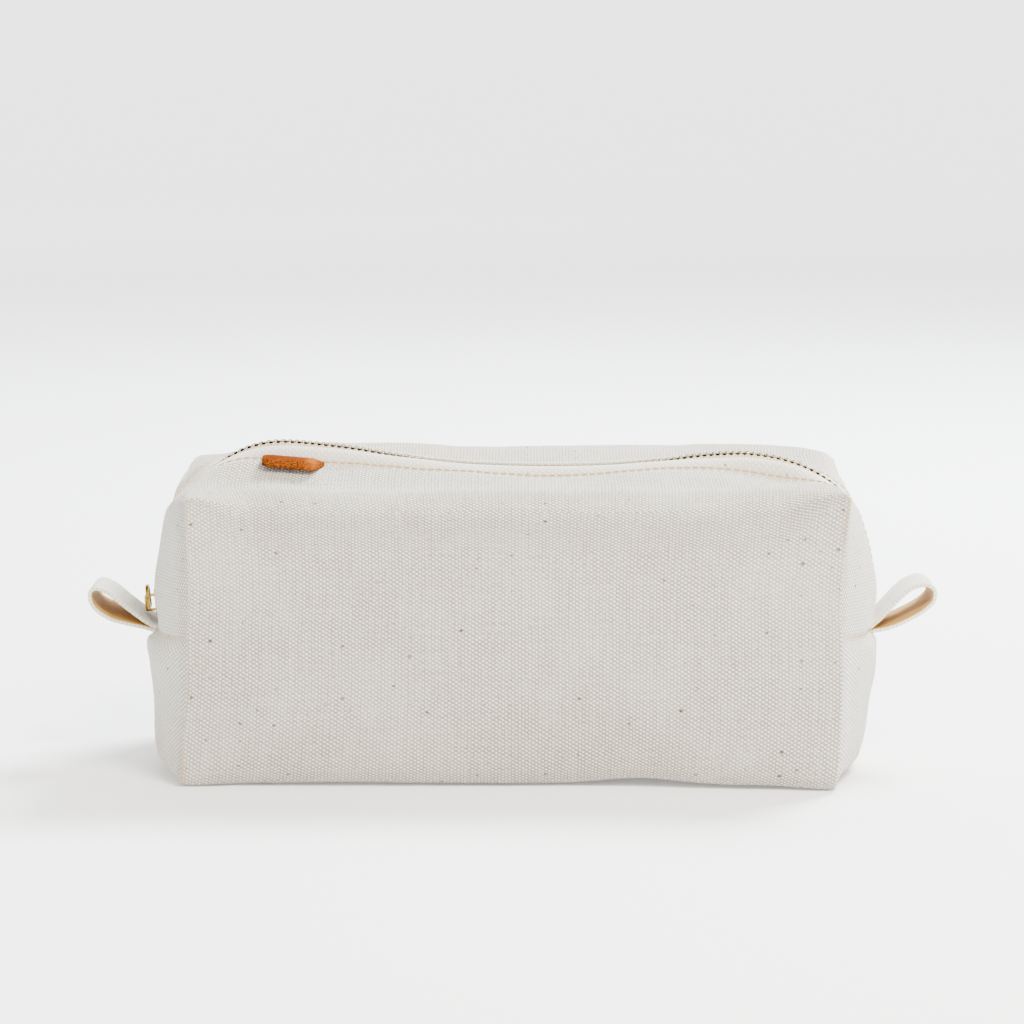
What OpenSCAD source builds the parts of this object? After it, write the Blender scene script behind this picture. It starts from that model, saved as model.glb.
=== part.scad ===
// Canvas shaving kit bag: a boxed pouch with a metal zip over its top and down both ends.
// Millimetres, +Z up, front face towards -Y, origin at the middle of the base.

/* [Bag] */
// Length over the two ends, without the loops
bag_length = 272; // [226:1:327]
// Depth from the front face to the back face
bag_depth = 112; // [93:1:135]
// Height of the closed bag, to the canvas beside the zip
bag_height = 116; // [108:1:140]
// How far the middle of an end stands out past the upright seams
end_bulge = 15; // [12:1:18]
// Width of the flat middle of an end
end_flat = 40; // [36:1:48]
// Radius that the zip turns through at each upper corner
curve_r = 50; // [42:1:56]
// Radius of the long upper edges
top_edge_r = 20; // [16:1:24]
// Radius of the long lower edges
bottom_edge_r = 8; // [6:1:10]
// Height of the level seam across each end
end_seam_z = 49; // [44:1:54]
// How far the end below its seam stands back from the widest part above it
lower_end_step = 2; // [1.6:0.1:2.4]

/* [Cloth] */
// Thickness of the canvas
canvas_t = 1.2; // [1:0.1:1.5]
// Thickness of the waterproof backing
backing_t = 0.4; // [0.3:0.05:0.5]
// Thickness of the tape that binds the seams inside
binding_t = 2.4; // [2:0.1:2.9]
// Width of the binding on a seam
binding_w = 10; // [8:1:12]
// Width of the binding over the base seam
base_binding_w = 14; // [11:1:17]

/* [Mouth] */
// Length of the part of the top that opens
mouth_length = 136; // [113:1:140]
// Distance from the front or back face to the fold that a flap opens on
fold_inset = 6; // [5:0.5:7]
// Gap between two pieces that move apart
gap = 0.3; // [0.3:0.05:0.5]

/* [Zip] */
// Width between the two folded canvas edges
slot_w = 10; // [9.6:0.1:12]
// Width of each zip tape
tape_w = 14; // [12:0.5:15]
// Thickness of a zip tape
tape_t = 0.6; // [0.5:0.05:0.65]
// Distance between teeth on one side
tooth_pitch = 2.52; // [2.5:0.01:3]
// Thickness of a tooth along the zip
tooth_t = 1.1; // [0.9:0.05:1.15]
// Height of a tooth through the tape
tooth_h = 2.2; // [1.9:0.1:2.3]
// How far a tooth reaches past the middle of the zip
tooth_reach = 0.9; // [0.7:0.1:1]
// How far the legs of a tooth reach from the middle of the zip
tooth_leg = 3.3; // [3:0.1:3.4]

/* [Slider] */
// Length of the slider along the zip
slider_length = 10.4; // [9:0.1:12.5]
// Where the slider rests: its angle round the left corner, counted up from level
slider_rest = -6.5; // [-8:0.1:-4]
// Thickness of a slider plate
plate_t = 1; // [0.8:0.05:1.2]
// Clearance between the slider and the chain
chain_play = 0.15; // [0.12:0.01:0.18]
// Width of the slider
slider_w = 8.6; // [8.5:0.1:9]
// Length of the wedge that parts the teeth
wedge_length = 2.4; // [2:0.1:2.8]
// Width of the crown over the slider
crown_w = 2; // [1.7:0.1:2.3]
// Height of the crown above the slider
crown_h = 4.2; // [3.6:0.1:5]
// Thickness of the crown's strip
crown_t = 0.8; // [0.7:0.05:0.9]
// Length of the pull ring
ring_length = 9.2; // [8.6:0.1:11]
// Width of the pull ring
ring_w = 6.6; // [6:0.1:7.6]
// Thickness of the pull ring
ring_t = 1.2; // [1:0.05:1.3]
// Clearance of the pull ring's bar in the crown
bar_play = 0.2; // [0.15:0.01:0.24]

/* [Loops and tab] */
// Width of the loop strip
loop_w = 24; // [20:1:29]
// Length of a loop from its seam to its far end
loop_length = 29; // [24:0.5:35]
// Widest gap inside a loop
loop_open = 11; // [9:0.5:13.5]
// Angle that the loops stand up at
loop_rise = 33; // [26:1:35]
// Length of the leather tab along the seam
tab_length = 22.5; // [19:0.5:27]
// How far the leather tab stands out from its seam
tab_out = 11; // [9:0.5:13]
// Thickness of the leather, which is folded double
leather_t = 1.7; // [1.4:0.05:2]
// Gap between the stitching and the leather tab over it
tab_play = 0.2; // [0.1:0.05:0.4]
// Distance from the middle of the bag to the middle of the tab
tab_x = 82; // [82:0.5:88]

/* [Stitching] */
// Thickness of the thread
thread_d = 0.5; // [0.4:0.05:0.6]
// Length of one stitch
stitch_length = 2.4; // [2:0.1:2.8]
// Distance from one stitch to the next
stitch_pitch = 3.2; // [3:0.1:3.8]
// Distance from the folded canvas edge to the stitching
stitch_inset = 4.5; // [3.5:0.5:5.5]

/* [Hidden] */
$fn = 96;

wall = canvas_t + backing_t;
half_length = bag_length / 2;
half_depth = bag_depth / 2;
mouth_half = mouth_length / 2;
curve_x = half_length - curve_r;
curve_z = bag_height - curve_r;
lower_half_length = half_length - lower_end_step;
corner_x = half_length - end_bulge;

// The slanted side of an end runs from the flat middle to the upright seam.
slant = norm([end_bulge, half_depth - end_flat / 2]);
slant_nx = (half_depth - end_flat / 2) / slant;
slant_ny = end_bulge / slant;
slant_c = slant_nx * corner_x + slant_ny * half_depth;

// Levels below the outer canvas face, measured into the bag.
tape_top = wall;
tape_bottom = wall + tape_t;
chain_level = wall + tape_t / 2;
tooth_top = chain_level - tooth_h / 2;
tooth_bottom = chain_level + tooth_h / 2;
chain_r = curve_r - chain_level;
bead_y = tooth_leg - 1;
leg_play = 0.05;

// The chain curves away from a straight slider by this much at its ends.
chain_sag = pow(slider_length / 2, 2) / (2 * chain_r);
flange_w = 0.8;
plate_under = tooth_top - chain_play;
lower_plate_top = tooth_bottom + chain_sag + chain_play;
plate_top = plate_t - plate_under;
crown_half = slider_length / 2 - 2;
bar_r = ring_t / 2;
bar_x = bar_r + bar_play + crown_t - crown_half;
bar_z = plate_top + crown_h - crown_t - bar_play - bar_r;
ring_bar = 1.2;

slider_s = curve_x + (90 - slider_rest) * PI / 180 * chain_r;
left_chain_end = slider_s + slider_length / 2 - wedge_length - chain_play - tooth_t / 2;
seam_angle = asin((end_seam_z - curve_z) / chain_r);
right_chain_end = curve_x + (90 - seam_angle) * PI / 180 * chain_r - tooth_t - wall;

strip_t = wall;
loop_root_x = lower_half_length + gap + strip_t;
turn_steps = 32;
stitch_y = slot_w / 2 + stitch_inset;
stitch_lift = 0.02;
fold_y = half_depth - fold_inset;
fold_z = bag_height - top_edge_r + sqrt(pow(top_edge_r, 2) - pow(fold_y - half_depth + top_edge_r, 2));
far = 400;

natural = "#e9e5da";
backing = "#c79a55";
brass = "#b8902f";
tan_leather = "#b0602c";
thread = "#d9b88c";

// ---- outlines of the bag, each drawn in from the outer face by inset ----

// Seen from the front: upper corners that the zip turns round, and a squarer lower part.
module front_outline(inset) {
    translate([-curve_x, bottom_edge_r]) square([2 * curve_x, bag_height - inset - bottom_edge_r]);
    for (side = [-1, 1]) translate([side * curve_x, curve_z]) circle(curve_r - inset);
    low = lower_half_length - bottom_edge_r;
    translate([-low, inset]) square([2 * low, end_seam_z - 2 * inset]);
    translate([-lower_half_length + inset, bottom_edge_r])
        square([2 * (lower_half_length - inset), end_seam_z - inset - bottom_edge_r]);
    for (side = [-1, 1]) translate([side * low, bottom_edge_r]) circle(bottom_edge_r - inset);
}

// Seen from above: a flat middle to each end, slanting back to the upright seams.
module top_outline(inset) {
    x = half_length - inset;
    y = half_depth - inset;
    flat_y = (slant_c - inset - slant_nx * x) / slant_ny;
    face_x = (slant_c - inset - slant_ny * y) / slant_nx;
    polygon([
        [-x, -flat_y], [-face_x, -y], [face_x, -y], [x, -flat_y],
        [x, flat_y], [face_x, y], [-face_x, y], [-x, flat_y]
    ]);
}

// Seen from an end: rounded long edges above and below.
module end_outline(inset) {
    top_y = half_depth - top_edge_r;
    low_y = half_depth - bottom_edge_r;
    translate([-half_depth + inset, bottom_edge_r])
        square([2 * (half_depth - inset), bag_height - top_edge_r - bottom_edge_r]);
    translate([-top_y, bag_height / 2]) square([2 * top_y, bag_height / 2 - inset]);
    translate([-low_y, inset]) square([2 * low_y, bag_height / 2]);
    for (side = [-1, 1]) {
        translate([side * top_y, bag_height - top_edge_r]) circle(top_edge_r - inset);
        translate([side * low_y, bottom_edge_r]) circle(bottom_edge_r - inset);
    }
}

module along_x(length) rotate([90, 0, 90]) linear_extrude(length, center = true) children();

module along_y(from, to) translate([0, to, 0]) rotate([90, 0, 0]) linear_extrude(to - from) children();

module bag_form(inset) {
    intersection() {
        along_y(-half_depth, half_depth) front_outline(inset);
        linear_extrude(bag_height) top_outline(inset);
        along_x(bag_length) end_outline(inset);
    }
}

module skin(outer, inner) difference() {
    bag_form(outer);
    bag_form(inner);
}

// ---- regions that cut the skin into its pieces ----

module box_between(low, high) translate(low) cube(high - low);

module zip_slot() box_between([-far, -slot_w / 2, end_seam_z], [far, slot_w / 2, far]);

// The part of the back half of the top that lifts as a flap, with room taken off each edge.
module flap_region(room) {
    box_between(
        [-mouth_half + room, slot_w / 2, bag_height - top_edge_r],
        [mouth_half - room, fold_y - room, far]
    );
}

// Draws what it is given for the back half, turned over to the front when side is -1.
module on_half(side) mirror([0, side < 0 ? 1 : 0, 0]) children();

module body_skin(side, outer, inner) on_half(side) difference() {
    intersection() {
        skin(outer, inner);
        box_between([-far, 0, -far], [far, far, far]);
    }
    zip_slot();
    flap_region(0);
}

module flap_skin(side, outer, inner) on_half(side) intersection() {
    skin(outer, inner);
    flap_region(gap);
}

// ---- the zip ----

// Places its children on the zip's line, s from the middle of the top towards the left end.
// There +Z points out of the bag, +X runs back along the zip and z = 0 is the outer canvas face.
module on_zip(s) {
    if (s <= curve_x) translate([-s, 0, bag_height]) children();
    else on_left_curve(90 - (s - curve_x) / chain_r * 180 / PI) children();
}

module on_left_curve(angle)
    translate([-curve_x, 0, curve_z]) rotate([0, angle - 90, 0]) translate([0, 0, curve_r]) children();

// side is -1 for the front tape and 1 for the back one.
module tape_band(side) {
    near = bead_y;
    edge = bead_y + tape_w;
    along_y(side < 0 ? -edge : near, side < 0 ? -near : edge) difference() {
        front_outline(tape_top);
        front_outline(tape_bottom);
    }
}

module body_tape(side) difference() {
    intersection() {
        tape_band(side);
        box_between([-far, -far, end_seam_z], [far, far, far]);
    }
    box_between([-mouth_half, -far, curve_z], [mouth_half, far, far]);
}

module flap_tape(side) intersection() {
    tape_band(side);
    box_between([-mouth_half + gap, -far, curve_z], [mouth_half - gap, far, far]);
}

// A tooth grips the tape's edge between two legs and reaches past the middle of the zip.
module tooth(side) {
    heel = bead_y - leg_play;
    along_x(tooth_t) polygon([
        [-side * tooth_reach, -tooth_top], [side * tooth_leg, -tooth_top],
        [side * tooth_leg, leg_play - tape_top], [side * heel, leg_play - tape_top],
        [side * heel, -tape_bottom - leg_play], [side * tooth_leg, -tape_bottom - leg_play],
        [side * tooth_leg, -tooth_bottom], [-side * tooth_reach, -tooth_bottom]
    ]);
}

// Teeth between two distances along the zip, the back row half a pitch from the front one.
module teeth(side, from, to) {
    shift = side < 0 ? 0 : tooth_pitch / 2;
    first = ceil((from - shift) / tooth_pitch);
    last = floor((to - shift) / tooth_pitch);
    for (i = [first:last]) on_zip(i * tooth_pitch + shift) tooth(side);
}

mouth_tooth_end = mouth_half - gap - tooth_t / 2;
body_tooth_start = mouth_half + tooth_t / 2;

module flap_teeth(side) {
    teeth(side, 0, mouth_tooth_end);
    mirror([1, 0, 0]) teeth(side, tooth_pitch / 4, mouth_tooth_end);
}

// ---- stitching ----

module stitch(side) translate([0, side * stitch_y, thread_d / 2 + stitch_lift])
    rotate([0, 90, 0]) cylinder(d = thread_d, h = stitch_length, center = true, $fn = 16);

module stitch_row(side, from, to) {
    count = floor((to - from - stitch_length) / stitch_pitch);
    for (i = [0:count]) on_zip(from + stitch_length / 2 + i * stitch_pitch) stitch(side);
}

seam_s = curve_x + (90 - seam_angle) * PI / 180 * chain_r;

module body_stitching(side) for (end = [0, 1])
    mirror([end, 0, 0]) stitch_row(side, mouth_half + gap, seam_s - stitch_length);

module flap_stitching(side) {
    count = floor((mouth_length - 2 * gap - stitch_length) / stitch_pitch);
    start = -count * stitch_pitch / 2;
    for (i = [0:count]) translate([start + i * stitch_pitch, 0, bag_height]) stitch(side);
}

// ---- bindings inside ----

module base_seam_binding() color(natural) intersection() {
    skin(wall, wall + binding_t);
    reach = lower_half_length - wall - 2 * binding_t;
    box_between([-reach, -base_binding_w / 2, -1], [reach, base_binding_w / 2, wall + binding_t + 1]);
}

// Binding over the level seam of an end, seated just under the seam.
module end_binding(end) color(natural) intersection() {
    skin(wall, wall + binding_t);
    top = end_seam_z - 2 * wall;
    edge = half_depth - wall - binding_w;
    box_between(
        [end < 0 ? -far : corner_x, -edge, top - binding_w],
        [end < 0 ? -corner_x : far, edge, top]
    );
}

// Binding down an upright corner seam.
module corner_binding(end, side) color(natural) intersection() {
    skin(wall, wall + binding_t);
    reach = binding_w - gap;
    in_x = corner_x - reach;
    in_y = half_depth - wall - reach;
    low = bottom_edge_r + binding_t;
    top = curve_z + curve_r / 2;
    box_between(
        [end < 0 ? -far : in_x, side < 0 ? -far : in_y, low],
        [end < 0 ? -in_x : far, side < 0 ? -in_y : far, top]
    );
}

// ---- slider ----

module on_slider() on_left_curve(slider_rest) children();

module plate_outline() {
    half = slider_length / 2;
    shoulder = slider_w / 2;
    tail = shoulder - 0.3;
    polygon([
        [-half, -shoulder + 1.6], [-half + 1.6, -shoulder], [half - 0.8, -tail], [half, -tail + 0.8],
        [half, tail - 0.8], [half - 0.8, tail], [-half + 1.6, shoulder], [-half, shoulder - 1.6]
    ]);
}

// Two plates joined by the wedge, with flanges that run above and below each tape.
module slider_body() color(brass) on_slider() {
    half = slider_length / 2;
    translate([0, 0, -plate_under]) linear_extrude(plate_t) plate_outline();
    translate([0, 0, -lower_plate_top - plate_t]) linear_extrude(plate_t) plate_outline();
    translate([-half, 0, -lower_plate_top - plate_t / 2]) {
        translate([wedge_length / 2, 0, 0])
            linear_extrude(lower_plate_top - plate_under + plate_t)
                polygon([[-wedge_length / 2, -1.1], [wedge_length / 2, -0.4],
                         [wedge_length / 2, 0.4], [-wedge_length / 2, 1.1]]);
    }
    tail = slider_w / 2 - 0.3;
    upper_drop = tape_top - chain_play - plate_under;
    lower_rise = lower_plate_top - tape_bottom - chain_sag - chain_play;
    for (side = [-1, 1]) {
        inner = side < 0 ? -tail : tail - flange_w + 0.1;
        translate([1.6 - half, inner, -plate_under - upper_drop])
            cube([slider_length - 2.4, flange_w - 0.1, upper_drop + plate_t / 2]);
        translate([1.6 - half, inner, -lower_plate_top - plate_t / 2])
            cube([slider_length - 2.4, flange_w - 0.1, lower_rise + plate_t / 2]);
    }
}

// A bent strip that stands on the slider and holds the ring's bar.
module slider_crown() color(brass) on_slider() {
    translate([0, crown_w / 2, plate_top]) rotate([90, 0, 0]) linear_extrude(crown_w) difference() {
        union() {
            translate([-crown_half, 0]) square([2 * crown_half, crown_h - crown_t]);
            translate([-crown_half + crown_t, 0]) square([2 * (crown_half - crown_t), crown_h]);
            for (end = [-1, 1]) translate([end * (crown_half - crown_t), crown_h - crown_t]) circle(crown_t);
        }
        translate([-crown_half + crown_t, -1]) square([2 * (crown_half - crown_t), crown_h - crown_t + 1]);
    }
}

// A flat oblong ring whose round bar turns under the crown.
module pull_ring() color(brass) on_slider() translate([bar_x, 0, bar_z]) {
    round_r = ring_w / 2;
    arm = ring_length - bar_r - round_r;
    translate([0, 0, -ring_t / 2]) linear_extrude(ring_t) difference() {
        union() {
            translate([0, -round_r]) square([arm, ring_w]);
            translate([arm, 0]) circle(round_r);
        }
        translate([-1, -round_r + ring_bar]) square([arm + 1, ring_w - 2 * ring_bar]);
        translate([arm, 0]) circle(round_r - ring_bar);
    }
    rotate([90, 0, 0]) cylinder(r = bar_r, h = ring_w, center = true);
}

// ---- loops ----

// A strip doubled back on itself into a teardrop, drawn along +X from its pivot.
module loop_strip() {
    turn_r = (loop_open + strip_t) / 2;
    reach = loop_length - turn_r - strip_t / 2;
    spread = asin(turn_r / reach);
    difference() {
        polygon([
            each arc(turn_r + strip_t / 2, reach, 90 + spread, -90 - spread),
            each arc(strip_t, 0, -30 - spread, spread - 330)
        ]);
        polygon([
            [strip_t / 2 / sin(spread), 0],
            each arc(turn_r - strip_t / 2, reach, 90 + spread, -90 - spread)
        ]);
    }
}

// Points from one angle to another on an arc of radius r whose centre is at [x, 0].
function arc(r, x, from, to) = [
    for (i = [0:turn_steps])
        let (angle = from + (to - from) * i / turn_steps)
        [x + r * cos(angle), r * sin(angle)]
];

module end_loop(end) color(natural) mirror([end < 0 ? 1 : 0, 0, 0])
    translate([loop_root_x, loop_w / 2, end_seam_z]) rotate([90, 0, 0]) linear_extrude(loop_w)
        rotate(loop_rise) loop_strip();

// ---- leather tab ----

// Leather folded double, sewn along its back edge and standing out over the top of the front.
module leather_tab() color(tan_leather) {
    tab_y = stitch_y + thread_d + tab_out - 1.5;
    lift = thread_d + tab_play;
    translate([-tab_x, 0, bag_height + lift + leather_t]) {
        along_x(tab_length) {
            translate([-tab_y + leather_t, -leather_t]) square([tab_out - leather_t, 2 * leather_t]);
            translate([-tab_y + leather_t, 0]) circle(leather_t);
        }
    }
}

color(natural) body_skin(-1, 0, canvas_t);  // front_canvas
color(natural) body_skin(1, 0, canvas_t);  // back_canvas
color(backing) body_skin(-1, canvas_t, wall);  // front_lining
color(backing) body_skin(1, canvas_t, wall);  // back_lining
color(natural) body_tape(-1);  // front_zip_tape
color(natural) body_tape(1);  // back_zip_tape
color(brass) teeth(-1, body_tooth_start, left_chain_end);  // front_left_teeth
color(brass) teeth(1, body_tooth_start, left_chain_end);  // back_left_teeth
color(brass) mirror([1, 0, 0]) teeth(-1, body_tooth_start, right_chain_end);  // front_right_teeth
color(brass) mirror([1, 0, 0]) teeth(1, body_tooth_start, right_chain_end);  // back_right_teeth
color(thread) body_stitching(-1);  // front_stitching
color(thread) body_stitching(1);  // back_stitching
base_seam_binding();
end_binding(-1);  // left_end_binding
end_binding(1);  // right_end_binding
corner_binding(-1, -1);  // front_left_corner_binding
corner_binding(1, -1);  // front_right_corner_binding
corner_binding(-1, 1);  // back_left_corner_binding
corner_binding(1, 1);  // back_right_corner_binding
color(natural) flap_skin(-1, 0, canvas_t);  // front_flap_canvas
color(backing) flap_skin(-1, canvas_t, wall);  // front_flap_lining
color(natural) flap_tape(-1);  // front_flap_tape
color(brass) flap_teeth(-1);  // front_flap_teeth
color(thread) flap_stitching(-1);  // front_flap_stitching
color(natural) flap_skin(1, 0, canvas_t);  // back_flap_canvas
color(backing) flap_skin(1, canvas_t, wall);  // back_flap_lining
color(natural) flap_tape(1);  // back_flap_tape
color(brass) flap_teeth(1);  // back_flap_teeth
color(thread) flap_stitching(1);  // back_flap_stitching
slider_body();
slider_crown();
pull_ring();
end_loop(-1);  // left_loop
end_loop(1);  // right_loop
leather_tab();
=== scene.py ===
import math

import bmesh
import bpy
import numpy as np
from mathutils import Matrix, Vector


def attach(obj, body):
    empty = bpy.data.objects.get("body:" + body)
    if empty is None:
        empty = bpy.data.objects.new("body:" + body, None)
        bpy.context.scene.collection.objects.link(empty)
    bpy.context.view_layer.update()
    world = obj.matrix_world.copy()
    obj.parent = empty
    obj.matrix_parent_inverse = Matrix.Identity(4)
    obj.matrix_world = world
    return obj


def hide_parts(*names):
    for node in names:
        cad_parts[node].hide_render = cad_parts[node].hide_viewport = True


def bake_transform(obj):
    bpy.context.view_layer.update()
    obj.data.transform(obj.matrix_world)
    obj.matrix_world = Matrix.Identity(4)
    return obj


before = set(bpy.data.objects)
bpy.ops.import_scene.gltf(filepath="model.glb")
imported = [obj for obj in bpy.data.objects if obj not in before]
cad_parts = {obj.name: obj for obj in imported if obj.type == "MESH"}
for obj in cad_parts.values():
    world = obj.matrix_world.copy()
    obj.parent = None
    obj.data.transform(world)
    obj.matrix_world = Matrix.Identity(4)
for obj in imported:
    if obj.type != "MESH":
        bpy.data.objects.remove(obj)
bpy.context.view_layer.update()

MM = 0.001

# ---------------------------------------------------------------- camera, light and floor


def set_camera():
    data = bpy.data.cameras.new("camera")
    data.lens, data.sensor_width = 125.2, 36
    camera = bpy.data.objects.new("camera", data)
    camera.location = (0, -1.3433, 0.2837)
    camera.rotation_euler = (math.radians(82), 0, 0)
    bpy.context.collection.objects.link(camera)
    bpy.context.scene.camera = camera


def hang_light(name, place, aim, size, power, tint=(1, 1, 1)):
    data = bpy.data.lights.new(name, "AREA")
    data.shape, data.size, data.energy, data.color = "DISK", size, power, tint
    lamp = bpy.data.objects.new(name, data)
    lamp.location = place
    lamp.rotation_euler = (Vector(aim) - Vector(place)).to_track_quat("-Z", "Y").to_euler()
    bpy.context.collection.objects.link(lamp)


set_camera()
hang_light("window", (0.75, 0.95, 1.5), (0, 0, 0.05), 0.7, 138, (0.93, 0.98, 1))
hang_light("front_card", (0.45, -0.75, 1.1), (0, 0, 0.08), 0.5, 32, (1, 0.95, 0.86))
hang_light("back_card", (-0.2, 1.3, 1.3), (0, 0, 0.08), 1.2, 22, (0.97, 0.99, 1))

# ---------------------------------------------------------------- small sums


def ease(low, high, x):
    t = np.clip((np.asarray(x, float) - low) / (high - low), 0, 1)
    return t * t * (3 - 2 * t)


def mix(a, b, share):
    return a + (b - a) * share


def drawn(points, x):
    """The height at x of a smooth line drawn through points."""
    xs, ys = np.array(points, float).T
    slopes = np.gradient(ys, xs)
    x = np.clip(x, xs[0], xs[-1])
    i = np.clip(np.searchsorted(xs, x) - 1, 0, len(xs) - 2)
    h = xs[i + 1] - xs[i]
    t = (x - xs[i]) / h
    return (
        ys[i] * (1 + 2 * t) * (1 - t) ** 2
        + ys[i + 1] * t * t * (3 - 2 * t)
        + h * t * (1 - t) * (slopes[i] * (1 - t) - slopes[i + 1] * t)
    )


def hill(x, z, at_x, at_z, wide, tall):
    return np.exp(-(((x - at_x) / wide) ** 2) - ((z - at_z) / tall) ** 2)


def ripples(seed, wave, *place):
    """Gentle random waves about one high, the same every time for a seed."""
    chance = np.random.default_rng(seed)
    place = np.stack([np.asarray(p, float) for p in place])
    total = 0
    for _ in range(9):
        way = chance.normal(size=len(place))
        way *= 2 * math.pi / wave / np.linalg.norm(way) * chance.uniform(0.6, 1.5)
        total = total + np.sin(np.tensordot(way, place, 1) + chance.uniform(0, 6.3))
    return total / 4


# ---------------------------------------------------------------- the shape of the bag, in millimetres

HALF_DEPTH = 56
CURVE_R = 50
CURVE_X = 86
CURVE_Z = 66
SEAM_Z = 50.6
CANVAS = 1.6
S_CORNER = CURVE_X + CURVE_R * math.pi / 4
S_SEAM = CURVE_X + CURVE_R * (math.pi / 2 + math.asin((CURVE_Z - SEAM_Z) / CURVE_R))
SEAM_H = 0.45
EDGE_Y = 5.9
ROLL = 0.8
# A flap's cloth is still fixed to the bag at BEND_FROM from the middle, and lifts fully within BEND_TO.
BEND_FROM, BEND_TO = 68.0, 22.0
STITCH_Y = 9.5

# How far the filled bag bows the zip out (+) or in (-), along it from left to right.
ZIP_BOW = [
    (-182, 0), (-136, 0.2), (-125, 2.2), (-116.5, 3.8), (-107.8, 4.7), (-99, 5.0), (-86, 5.0), (-72, 4.2),
    (-60, 3.1), (-49, 1.6), (-37, 0.2), (-20, -1.6), (0, -2.6), (18, -2.8), (34, -2.4),
    (50, -1.3), (62, -0.4), (80, 0.3),
    (98, 0.8), (107.5, 1.9), (118.6, 3.4), (125.4, 4.2), (142, 3), (154, 2), (164.5, 1.6), (182, 1),
]
# Height of the top in front of the zip, along the stitching, and behind it.
FRONT_STITCH_Z = [
    (-130, 106.5), (-123, 108), (-116.6, 111), (-112.5, 113.4), (-107.6, 115.6), (-102, 116.8),
    (-93.6, 116.2), (-82, 115.2), (-70.6, 114.3), (-54, 113.2), (-39, 112), (-25, 111.6),
    (-10, 110.7), (0, 110), (29, 109.7),
    (43, 111), (62.6, 112.8), (77, 112.6), (91.5, 109.4), (101, 107.8), (115.5, 107.6), (126, 107.2),
]
BACK_STITCH_Z = [
    (-130, 107), (-120, 112), (-105, 116), (-90, 117), (-60, 115.4), (-30, 112.6), (0, 111), (34, 111.2),
    (62, 113.2), (85, 113.6), (105, 111.5), (126, 108),
]
FRONT_FOLD_Z = [
    (-130, 108.6), (-112, 108.4), (-80, 107.8), (0, 107.6), (80, 107.8), (110, 109.0), (130, 110.2),
]
BACK_FOLD_Z = [
    (-130, 109.6), (-112, 111.2), (-92, 113.9), (0, 114.0), (60, 114.5), (100, 114.5), (113, 113.4),
    (130, 109.8),
]
# Half-length of the bag up the middle of each end, and up its four corner seams.
LEFT_MIDDLE = [
    (0, 132.6), (5, 135.4), (13, 136.4), (26, 136.5), (34, 137.0), (40, 138.2), (46, 139.7), (49.4, 138.8),
    (50.8, 136.8), (53, 135.4), (58, 134.9), (66, 135.2), (76, 134.8), (86, 133.7), (94, 131.8), (102.6, 129),
    (110, 126.6), (118, 123),
]
RIGHT_MIDDLE = [
    (0, 131), (6, 133), (18, 135.5), (29.5, 136.8), (37.5, 138.3), (45, 139.3), (49, 138.9), (50.8, 137.6),
    (53, 137.2), (56, 137.4), (66.6, 137.9), (76.5, 137.0), (84, 135.5), (94, 132.2), (102, 128.9),
    (110, 124.7), (118, 120),
]
FRONT_LEFT = [
    (0, 122.8), (13.5, 121.4), (28, 120.2), (42, 119.2), (55, 119.2), (70, 118.4), (90, 119), (112, 119.8),
]
FRONT_RIGHT = [(0, 118.8), (13, 120), (32, 120.8), (53, 120.8), (70, 120.5), (90, 122), (112, 124.4)]
BACK_LEFT = [(0, 121), (55, 119.6), (85, 122), (112, 127)]
BACK_RIGHT = [(0, 120), (55, 120.6), (80, 123.5), (95, 127), (104, 128), (112, 127.5)]


def zip_base(s):
    """A point of the plain zip line, s from its middle, and the way out of the bag there."""
    turned = np.clip(np.abs(s) - CURVE_X, 0, None) / CURVE_R
    x = np.sign(s) * (np.minimum(np.abs(s), CURVE_X) + CURVE_R * np.sin(turned))
    return x, CURVE_Z + CURVE_R * np.cos(turned), np.sign(s) * np.sin(turned), np.cos(turned)


def zip_place(s, out=0.0):
    """A point on the zip of the filled bag, out from the level of the canvas beside it."""
    x, z, nx, nz = zip_base(s)
    out = out + drawn(ZIP_BOW, s)
    return x + nx * out, z + nz * out


def zip_way(s):
    """Unit vectors along the zip and out of the bag, as (x, z) pairs."""
    ax, az = zip_place(s - 0.5)
    bx, bz = zip_place(s + 0.5)
    size = np.hypot(bx - ax, bz - az)
    along = ((bx - ax) / size, (bz - az) / size)
    return along, (-along[1], along[0])


def top_height(x, y):
    far_front = mix(drawn(FRONT_STITCH_Z, x), drawn(FRONT_FOLD_Z, x), ease(7, 29, -y))
    far_back = mix(drawn(BACK_STITCH_Z, x), drawn(BACK_FOLD_Z, x), ease(8, 46, y))
    swell = np.where(y < 0, 0.3, 0.9) * np.sin(np.pi * np.clip((np.abs(y) - 10) / 44, 0, 1))
    return np.where(y < 0, far_front, far_back) + swell


def half_length(side, y, z):
    share = 1 - (np.abs(y) / HALF_DEPTH) ** 2.3
    left = mix(np.where(y < 0, drawn(FRONT_LEFT, z), drawn(BACK_LEFT, z)), drawn(LEFT_MIDDLE, z), share)
    right = mix(np.where(y < 0, drawn(FRONT_RIGHT, z), drawn(BACK_RIGHT, z)), drawn(RIGHT_MIDDLE, z), share)
    return np.where(side < 0, left, right)


def rounded(a, b, r):
    """Two depths under two faces that meet, turned into a corner of radius r."""
    qa, qb = np.clip(1 - a / r, 0, None), np.clip(1 - b / r, 0, None)
    inside = (qa > 0) & (qb > 0)
    return (
        np.where(inside, r - r * qa * np.sqrt(1 - qb * qb / 2), a),
        np.where(inside, r - r * qb * np.sqrt(1 - qa * qa / 2), b),
    )


def seam_height(y):
    """Height of the level seam across each end, which rises toward the corners."""
    return mix(50.4, 55.7, np.clip(np.abs(y) / HALF_DEPTH, 0, 1) ** 1.1)


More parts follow.
